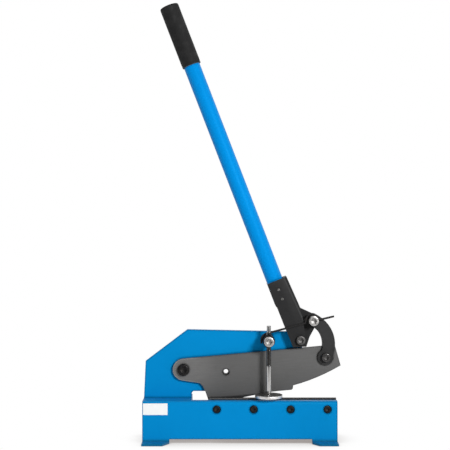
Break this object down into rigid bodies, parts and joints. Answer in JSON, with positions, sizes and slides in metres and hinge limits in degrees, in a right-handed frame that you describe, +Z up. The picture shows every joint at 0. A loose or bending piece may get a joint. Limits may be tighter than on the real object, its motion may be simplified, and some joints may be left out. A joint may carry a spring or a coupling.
{
  "type": "bench shear",
  "caption": "Hand-lever bench shear with a bent plate base, a hinged upper blade, curved links, a long grip handle, a sheet hold-down and a latch wire.",
  "frame": {"origin": "on the bench, under the middle of the box that the whole shear fits in", "axes": "+Z up along the height; +X along the base and the blades, from the blade pivot to the link end; -Y is the front, where the lower blade and the hold-down are, and +Y the back"},
  "size_m": [0.4768, 0.178, 1.0595],
  "materials": {
    "blue_paint": "smooth satin-gloss enamel",
    "black_paint": "satin black enamel",
    "black_rubber": "matt rubber sleeve",
    "black_oxide": "black oxide, oiled",
    "ground_steel": "ground tool steel, grey",
    "dark_steel": "hardened tool steel, dark",
    "zinc": "bright zinc plate",
    "white_label": "blank paper label"
  },
  "bodies": {
    "base": {"base_front_plate": "blue_paint", "base_rear_plate": "blue_paint", "frame_plate": "blue_paint", "front_end_rib": "blue_paint", "rear_end_rib": "blue_paint", "blade_carrier_bar": "blue_paint", "lower_blade": "dark_steel", "lower_blade_bolt_1": "black_oxide", "lower_blade_bolt_2": "black_oxide", "lower_blade_bolt_3": "black_oxide", "lower_blade_bolt_4": "black_oxide", "blank_label": "white_label", "blade_pivot_bolt": "black_oxide", "blade_pivot_washer": "black_oxide", "blade_pivot_nut": "black_oxide", "bar_die_bush": "ground_steel", "lever_pivot_bolt": "black_oxide", "lever_pivot_nut": "black_oxide", "hold_down_stud": "black_oxide", "hold_down_stud_nut": "black_oxide", "hold_down_clamp_bolt": "zinc"},
    "lever": {"lever_bracket": "black_paint", "lever_plate": "black_paint", "handle_tube": "blue_paint", "handle_grip": "black_rubber", "handle_set_screw_1": "zinc", "handle_set_screw_2": "zinc", "lever_pivot_spacer": "black_oxide", "lever_pivot_washer": "black_oxide", "link_pivot_bolt": "zinc", "link_pivot_nut": "black_oxide", "link_pivot_spacer": "zinc"},
    "link": {"link_front": "black_paint", "link_rear": "black_paint", "link_blade_bolt": "black_oxide", "link_blade_nut": "black_oxide"},
    "blade": {"upper_blade": "ground_steel"},
    "latch": {"latch_wire": "black_oxide"},
    "hold_down": {"hold_down_rod": "zinc", "hold_down_pad": "zinc"}
  },
  "joints": [
    {"name": "handle_swing", "type": "hinge", "parent": "base", "child": "lever", "pos_m": [0.14025, 0, 0.244], "axis": [0, 1, 0], "range_deg": [0, 45]},
    {"name": "blade_swing", "type": "hinge", "parent": "base", "child": "blade", "pos_m": [-0.14182, 0, 0.1698], "axis": [0, 1, 0], "range_deg": [0, 6.6]},
    {"name": "link_swing", "type": "hinge", "parent": "lever", "child": "link", "pos_m": [0.17063, 0, 0.29079], "axis": [0, 1, 0], "range_deg": [-29.8, 0]},
    {"name": "latch_lift", "type": "hinge", "parent": "lever", "child": "latch", "pos_m": [0.17063, 0, 0.29079], "axis": [0, 1, 0], "range_deg": [0, 25]},
    {"name": "hold_down_slide", "type": "slide", "parent": "base", "child": "hold_down", "axis": [0, 0, 1], "range_m": [-0.0058, 0.045]}
  ],
  "couplings": [
    {"joint": "blade_swing", "follows": "handle_swing", "ratio": 0.1442},
    {"joint": "link_swing", "follows": "handle_swing", "ratio": -0.658}
  ]
}
